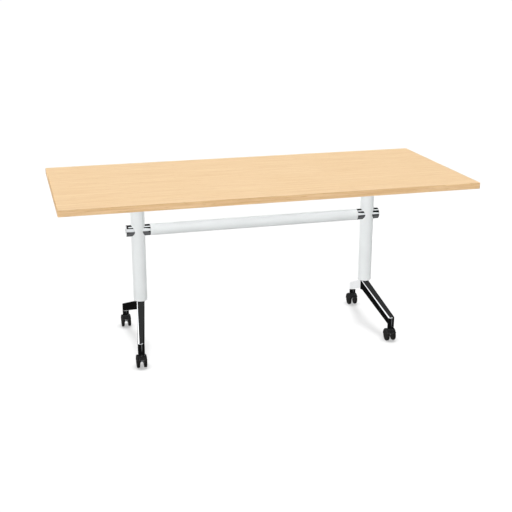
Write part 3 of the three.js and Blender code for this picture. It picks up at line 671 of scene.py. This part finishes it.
pedalSizes = {
    "topEnd": 136, "bottomEnd": 148, "inner": 26.0, "overlap": 1, "tabHalf": 13, "tabReach": 37.8,
    "tabAngle": 9, "tipLength": 4, "tipDraw": 0.25, "hinge": 22.5, "knuckle": 2.5, "knuckleHalf": 5.2,
    "pin": 1.5, "pinHalf": 8.5, "neckAngle": 8, "ridge": 0.7, "ridgeHalf": 9, "ridgeEdge": 0.5,
    "ridgesAt": (32, 34, 36),
}


# Pedal: the last stretch of the roof with a toe tab, its grip ridges, and a knuckle on a pin.
# The tab is drawn in with the square of the way along its tip.
def brakePedal(s):
    c = castorSizes
    shells = [roofSheet(c, s["topEnd"], s["bottomEnd"], s["inner"])]
    tabTop = s["bottomEnd"] - s["tabAngle"]
    across = np.linspace(-s["tabHalf"], s["tabHalf"], 9)[None, :]
    reach = np.linspace(c["roofOut"] - s["overlap"], s["tabReach"], 8)[:, None]
    tipShare = np.clip((reach - s["tabReach"] + s["tipLength"]) / s["tipLength"], 0, 1)
    across = across * (1 - s["tipDraw"] * tipShare ** 2)
    upperY, upperZ = roundAxle(c, reach, np.full_like(across, tabTop))
    lowerY, lowerZ = roundAxle(c, reach, np.full_like(across, s["bottomEnd"]))
    upper = np.stack([across, upperY, upperZ], -1)
    lower = np.stack([across, lowerY, lowerZ], -1)
    shells.append(thickSheet(upper, lower))
    half = s["ridgeHalf"]
    ridge = rounded(
        [[0, -half], [s["ridge"], -half], [s["ridge"], half], [0, half]],
        [0, s["ridgeEdge"], s["ridgeEdge"], 0])
    for distance in s["ridgesAt"]:
        y, z = roundAxle(c, distance, tabTop)
        shells.append(lathe(ridge[:, 0], ridge[:, 1], (0, y, z), axis="x", closed=False, sides=16))
    y, z = roundAxle(c, s["hinge"], s["topEnd"])
    shells.append(barX(s["knuckle"], s["knuckleHalf"], (0, y, z), 32))
    shells.append(barX(s["pin"], s["pinHalf"], (0, y, z), 24))
    grid = (6, 4)
    neckAngle = np.linspace(s["topEnd"], s["topEnd"] + s["neckAngle"], grid[0])[:, None]
    wide = np.broadcast_to(np.linspace(-s["knuckleHalf"], s["knuckleHalf"], grid[1])[None, :], grid)
    farY, farZ = roundAxle(c, np.full(grid, s["inner"] + s["overlap"]), neckAngle)
    nearY, nearZ = roundAxle(c, np.full(grid, s["hinge"]), neckAngle)
    shells.append(thickSheet(np.stack([wide, farY, farZ], -1), np.stack([wide, nearY, nearZ], -1)))
    return shells


# Shells made round the origin, carried to a castor's stem
def movedTo(shells, place):
    return [(points + np.asarray(place, float), quads) for points, quads in shells]


mouldedBevel = 0.5
for end, way in endSigns.items():
    braked = end == "front"
    for side, sign in sideSigns.items():
        label = f"{end}_{side}"
        stem = (sign * castorSizes["x"], way * castorSizes["y"], 0)
        hood = movedTo(castorHood(castorSizes, braked), stem)
        dress(f"{label}_castor_hood", hood, blackNylon, mouldedBevel)
        dress(f"{label}_outer_wheel", movedTo([castorWheel(wheelSizes, sign)], stem), tread)
        dress(f"{label}_inner_wheel", movedTo([castorWheel(wheelSizes, -sign)], stem), tread)
        if braked:
            pedal = movedTo(brakePedal(pedalSizes), stem)
            dress(f"{label}_brake_pedal", pedal, blackNylon, mouldedBevel)
        for metal in ("stem", "axle"):
            nodes[f"{label}_castor_{metal}"].data.materials[0] = zinc
print("castors done")


# Tilt gear under the board

headSizes = {
    "pivot": 655, "flange": 615, "flangeThick": 4, "flangeEdge": 0.8, "plug": 25.7, "plugFoot": 570.7,
    "plugEdge": 1, "tongueHalf": 16, "tongueDepth": 20, "tongueSunk": 3, "bushHole": 8.6, "sides": 96,
}


# Head: a plug and flange turned about the post's axis, and a tongue. The tongue's outline is a half circle
# above the pivot and a rectangle below it, and its faces are the strip between outline and bush hole.
def tiltHead(s, sign):
    centre = np.array([sign * postSizes["x"], 0, 0])
    radius = postSizes["radius"]
    low = s["flange"] - s["flangeThick"]
    turned = rounded(
        [[0, s["plugFoot"]], [s["plug"], s["plugFoot"]], [s["plug"], low], [radius, low],
         [radius, s["flange"]], [0, s["flange"]]],
        [0, s["plugEdge"], 0, s["flangeEdge"], s["flangeEdge"], 0])
    shells = [lathe(turned[:, 0], turned[:, 1], centre, closed=False, sides=s["sides"])]
    angle = np.arange(s["sides"]) * 2 * math.pi / s["sides"]
    towards = np.stack([np.cos(angle), np.sin(angle)], -1)
    drop = s["pivot"] - s["flange"] + s["tongueSunk"]
    tiny = 1e-9
    toSide = s["tongueDepth"] / np.maximum(np.abs(towards[:, 0]), tiny)
    toFoot = drop / np.maximum(-towards[:, 1], tiny)
    square = np.minimum(toSide, toFoot)
    outline = np.where(towards[:, 1] >= 0, s["tongueDepth"], square)[:, None] * towards
    hole = s["bushHole"] * towards
    half = s["tongueHalf"]
    faces = ((outline, -half), (outline, half), (hole, half), (hole, -half))
    rows = [np.insert(flat + (0, s["pivot"]), 0, x, axis=1) for flat, x in faces]
    shells.append(shell(np.stack(rows) + centre, wrapRows=True))
    return shells


pinSizes = {"shank": 6, "head": 9, "headEdge": 1.6, "face": 22.3, "end": 25.3}


# Pin: a shank with a flat round head on each end, turned about X
def pivotPin(s, sign):
    profile = rounded(
        [[0, -s["end"]], [s["head"], -s["end"]], [s["head"], -s["face"]], [s["shank"], -s["face"]],
         [s["shank"], s["face"]], [s["head"], s["face"]], [s["head"], s["end"]], [0, s["end"]]],
        [0, s["headEdge"], 0, 0, 0, 0, s["headEdge"], 0])
    place = (sign * postSizes["x"], 0, headSizes["pivot"])
    return lathe(profile[:, 0], profile[:, 1], place, axis="x", closed=False, sides=64)


leverSizes = {
    "z": 628, "face": 22.3, "hub": 11, "hubLength": 15, "hubEdge": 2.2, "stud": 4, "studEnd": -8,
    "studEdge": 0.6, "thick": 7, "tipThin": 0.35, "reach": 66, "rootHalf": 10, "tipHalf": 6, "edge": 2.6,
    "edgeShare": 0.9,
}


# Lever: a turned hub and stud, and a handle of rounded rectangles that ends in a half circle
def clampLever(s, sign):
    place = np.array([sign * postSizes["x"], 0, s["z"]])
    outside = s["face"] + s["hubLength"]
    turned = rounded(
        [[0, s["studEnd"]], [s["stud"], s["studEnd"]], [s["stud"], s["face"]], [s["hub"], s["face"]],
         [s["hub"], outside], [0, outside]],
        [0, s["studEdge"], 0, s["studEdge"], s["hubEdge"], 0])
    shells = [lathe(turned[:, 0], sign * turned[:, 1], place, axis="x", closed=False, sides=64)]
    straight = np.linspace(0, s["reach"], 24)
    bend = s["reach"] + s["tipHalf"] * np.sin(np.radians(np.linspace(6, 89, 12)))
    along = np.concatenate([straight, bend])[:, None]
    taper = s["rootHalf"] + (s["tipHalf"] - s["rootHalf"]) * np.minimum(along / s["reach"], 1)
    past = np.clip((along - s["reach"]) / s["tipHalf"], 0, 1)
    half = taper * np.sqrt(1 - past ** 2)
    edge = np.minimum(s["edge"], half * s["edgeShare"])
    angle, sideway, upward = quarterTurns(7)
    middle = outside - s["thick"] / 2
    wide = s["thick"] / 2 * (1 - s["tipThin"] * past)
    across = middle + sideway * (wide - edge) + edge * np.cos(angle)
    height = upward * (half - edge) + edge * np.sin(angle)
    loops = np.stack([sign * across, np.broadcast_to(along, across.shape), height], -1)
    shells.append(capped(loops + place))
    return shells


for side, sign in sideSigns.items():
    dress(f"{side}_tilt_head", tiltHead(headSizes, sign), blackSteel)
    dress(f"{side}_pivot_pin", [pivotPin(pinSizes, sign)], zinc)
    dress(f"{side}_clamp_lever", clampLever(leverSizes, sign), blackNylon)
    nodes[f"{side}_tilt_bracket"].data.materials[0] = blackSteel
    nodes[f"{side}_pivot_bush"].data.materials[0] = paleNylon
    for hidden in ("stretcher_insert", "post_nut"):
        nodes[f"{side}_{hidden}"].data.materials[0] = zinc
    for number in range(1, 5):
        nodes[f"{side}_bracket_screw_{number}"].data.materials[0] = zinc
print("tilt gear done")


# Floor, light and camera

floorLook = {
    "size": 14.0, "reach": 0.04,  # in metres
    "clear": 0.95, "falloff": 2.5, "darkest": 0.7,  # shade close to what stands on it
    "glow": 0.56, "lit": 0.14,  # seen by the camera
    "albedo": "#818181",  # seen by other rays
}


# White to the camera apart from the shade of the feet, and a plain grey floor to all other rays.
# A glow and the floor's own lamp add up to white, and whatever stands on the floor darkens it a little more
# close by. Mirrors leave the floor out.
def addFloor(s):
    half = s["size"] / 2
    mesh = bpy.data.meshes.new("floor")
    corners = [(-half, -half, 0), (half, -half, 0), (half, half, 0), (-half, half, 0)]
    mesh.from_pydata(corners, [], [(0, 1, 2, 3)])
    material, tree = newMaterial("paleStudioFloor")
    near = addNode(tree, "ShaderNodeAmbientOcclusion", {"samples": 24}, {"Distance": s["reach"]})
    clear = addNode(tree, "ShaderNodeMapRange", None, {"Value": near.outputs["AO"], "From Max": s["clear"]})
    fading = addNode(tree, "ShaderNodeMath", {"operation": "POWER"}, {0: clear.outputs[0], 1: s["falloff"]})
    shade = addNode(tree, "ShaderNodeMapRange", None, {"Value": fading.outputs[0], "To Min": s["darkest"]})
    glow = addNode(tree, "ShaderNodeEmission", None, {"Color": (1, 1, 1, 1), "Strength": s["glow"]})
    lit = addNode(tree, "ShaderNodeBsdfDiffuse", None, {"Color": (s["lit"], s["lit"], s["lit"], 1)})
    white = addNode(tree, "ShaderNodeAddShader", None, {0: glow.outputs[0], 1: lit.outputs[0]})
    shaded = addNode(tree, "ShaderNodeMixShader", None, {0: shade.outputs[0], 2: white.outputs[0]})
    plain = addNode(tree, "ShaderNodeBsdfDiffuse", None, {"Color": linear(s["albedo"])})
    path = addNode(tree, "ShaderNodeLightPath")
    seen = addNode(tree, "ShaderNodeMixShader", None, {
        0: path.outputs["Is Camera Ray"], 1: plain.outputs[0], 2: shaded.outputs[0]})
    addNode(tree, "ShaderNodeOutputMaterial", None, {"Surface": seen.outputs[0]})
    mesh.materials.append(material)
    floor = bpy.data.objects.new("floor", mesh)
    bpy.context.scene.collection.objects.link(floor)
    floor.visible_glossy = False
    return floor


studio = {
    "backdrop": 1.03,
    "ambient": 0.05,
    "dark": 0.008,
    "panels": [
        {"power": 1.15, "cuts": [  # wide band round the left and front of the room
            ((0, 0, 1), -0.20, -0.13), ((0, 0, 1), 0.82, 0.74), ((0.768, 0, 0.64), 0.61, 0.565),
            ((-0.61, -0.61, 0.50), 0.02, 0.10)]},
        {"power": 1.7, "cuts": [  # short stripe overhead
            ((0, 1, 0), -0.26, -0.22), ((0, 1, 0), 0.09, 0.05), ((0, 0, 1), 0.80, 0.85),
            ((1, 0, 0), 0.02, 0.06)]},
    ],
    "boxes": [
        {"aim": (-0.45, 0.50, 0.74), "inner": 14, "outer": 20, "power": 1.6},
        {"aim": (0.15, 0.43, 0.88), "inner": 18, "outer": 30, "power": 0.042},
        {"aim": (0.25, 0.92, -0.30), "inner": 22, "outer": 30, "power": 1.05},
        {"aim": (-0.85, 0.45, 0.25), "inner": 25, "outer": 35, "power": 0.5},
        {"aim": (0.13, -0.94, -0.30), "inner": 4, "outer": 8, "power": 0.35},
        {"aim": (0.0, -0.3, -0.95), "inner": 38, "outer": 46, "power": 0.16},
    ],
}


# Share of a panel that a mirrored ray sees past one soft cut. It goes from 0 to 1 as the ray's cosine
# with the cut's direction goes from out to full.
def cutShare(tree, aim, direction, out, full):
    cosine = addNode(tree, "ShaderNodeVectorMath", {"operation": "DOT_PRODUCT"}, {0: aim, 1: direction})
    share = addNode(tree, "ShaderNodeMapRange", {"interpolation_type": "SMOOTHSTEP"}, {
        "Value": cosine.outputs["Value"], "From Min": out, "From Max": full})
    return share.outputs[0]


# Even light on matt surfaces and white to the camera. Polished metal mirrors a dark room with bright
# panels, each the product of its cuts, and round soft boxes, full inside the inner angle and out past
# the outer.
def addWorld(s):
    world = bpy.data.worlds.new("studio")
    world.use_nodes = True
    tree = world.node_tree
    tree.nodes.clear()
    aim = addNode(tree, "ShaderNodeTexCoord").outputs["Generated"]
    glows = []
    for panel in s["panels"]:
        glow = panel["power"]
        for direction, out, full in panel["cuts"]:
            glow = addNode(tree, "ShaderNodeMath", {"operation": "MULTIPLY"}, {
                0: cutShare(tree, aim, direction, out, full), 1: glow}).outputs[0]
        glows.append(glow)
    for box in s["boxes"]:
        length = math.sqrt(sum(part * part for part in box["aim"]))
        unit = tuple(part / length for part in box["aim"])
        outer = math.cos(math.radians(box["outer"]))
        inner = math.cos(math.radians(box["inner"]))
        glows.append(addNode(tree, "ShaderNodeMath", {"operation": "MULTIPLY"}, {
            0: cutShare(tree, aim, unit, outer, inner), 1: box["power"]}).outputs[0])
    total = s["dark"]
    for glow in glows:
        total = addNode(tree, "ShaderNodeMath", {"operation": "ADD"}, {0: glow, 1: total}).outputs[0]
    path = addNode(tree, "ShaderNodeLightPath")
    white = addNode(tree, "ShaderNodeBackground", None, {"Color": (1, 1, 1, 1), "Strength": s["backdrop"]})
    even = addNode(tree, "ShaderNodeBackground", None, {"Color": (1, 1, 1, 1), "Strength": s["ambient"]})
    mirrored = addNode(tree, "ShaderNodeBackground", None, {"Color": (1, 1, 1, 1), "Strength": total})
    lit = addNode(tree, "ShaderNodeMixShader", None, {
        0: path.outputs["Is Glossy Ray"], 1: even.outputs[0], 2: mirrored.outputs[0]})
    seen = addNode(tree, "ShaderNodeMixShader", None, {
        0: path.outputs["Is Camera Ray"], 1: lit.outputs[0], 2: white.outputs[0]})
    addNode(tree, "ShaderNodeOutputWorld", None, {"Surface": seen.outputs[0]})
    bpy.context.scene.world = world


lampLook = {
    "ceilingLight": {"from": (0.0, 0.001, 1.0), "wide": 178, "share": 0.90, "shadow": False},
    "keyLight": {"from": (-0.60, -0.72, 0.35), "wide": 40, "share": 0.29, "shadow": False},
    "floorLight": {"from": (0.0, 0.001, 1.0), "wide": 24, "share": 2.4, "shadow": True},
}


# Far soft lamps. Those on the object cast no shadow, so that the tabletop leaves the frame under it as bright
# as the photograph shows it. A share of 1 renders a white surface that faces the lamp as white.
def addLamp(name, s):
    lamp = bpy.data.lights.new(name, "SUN")
    lamp.angle = math.radians(s["wide"])
    lamp.energy = s["share"] * math.pi
    lamp.use_shadow = s["shadow"]
    lamp.cycles.use_multiple_importance_sampling = False
    holder = bpy.data.objects.new(name, lamp)
    bpy.context.scene.collection.objects.link(holder)
    back = np.array(s["from"]) / np.linalg.norm(s["from"])
    right = np.cross((0, 0, 1), back)
    right /= np.linalg.norm(right)
    upward = np.cross(back, right)
    holder.matrix_world = Matrix(np.stack([right, upward, back], -1).tolist()).to_4x4()
    holder.visible_glossy = False
    return holder


shadeEndings = ("_foot_look", "_wheel_look", "_hood_look", "_pedal_look")


# The floor's lamp lights the floor alone, and only the feet and castors shade it, as the photograph shows
def linkFloorLamp(holder, floor):
    received = bpy.data.collections.new("floorLit")
    received.objects.link(floor)
    blocking = bpy.data.collections.new("floorShade")
    for piece in bpy.data.objects:
        if piece.name.endswith(shadeEndings):
            blocking.objects.link(piece)
    holder.light_linking.receiver_collection = received
    holder.light_linking.blocker_collection = blocking


view = {
    "lens": 65.767, "sensor": 36, "azimuth": -15.391, "elevation": 17.913, "roll": -0.100,
    "place": (-1.02466, -3.72276, 1.60926),
}


# The camera looks along its azimuth, turned down by its elevation, and is rolled a little about that line
def addCamera(s):
    azimuth, elevation, roll = np.radians([s["azimuth"], s["elevation"], s["roll"]])
    level = np.cos(elevation)
    ahead = np.array([-np.sin(azimuth) * level, np.cos(azimuth) * level, -np.sin(elevation)])
    right = np.cross(ahead, (0, 0, 1))
    right /= np.linalg.norm(right)
    down = np.cross(ahead, right)
    rolledRight = np.cos(roll) * right + np.sin(roll) * down
    rolledDown = np.cos(roll) * down - np.sin(roll) * right
    camera = bpy.data.cameras.new("camera")
    camera.sensor_fit = "HORIZONTAL"
    camera.sensor_width = s["sensor"]
    camera.lens = s["lens"]
    holder = bpy.data.objects.new("camera", camera)
    bpy.context.scene.collection.objects.link(holder)
    turned = Matrix(np.stack([rolledRight, -rolledDown, -ahead], -1).tolist()).to_4x4()
    turned.translation = s["place"]
    holder.matrix_world = turned
    bpy.context.scene.camera = holder


# In the photograph the chrome mirrors the room alone, so the pieces beside it are left out of mirrors
for piece in bpy.data.objects:
    piece.visible_glossy = False

floor = addFloor(floorLook)
addWorld(studio)
lamps = {name: addLamp(name, sizes) for name, sizes in lampLook.items()}
linkFloorLamp(lamps["floorLight"], floor)
addCamera(view)
bpy.context.scene.view_settings.view_transform = "Standard"
print("floor, light and camera done")
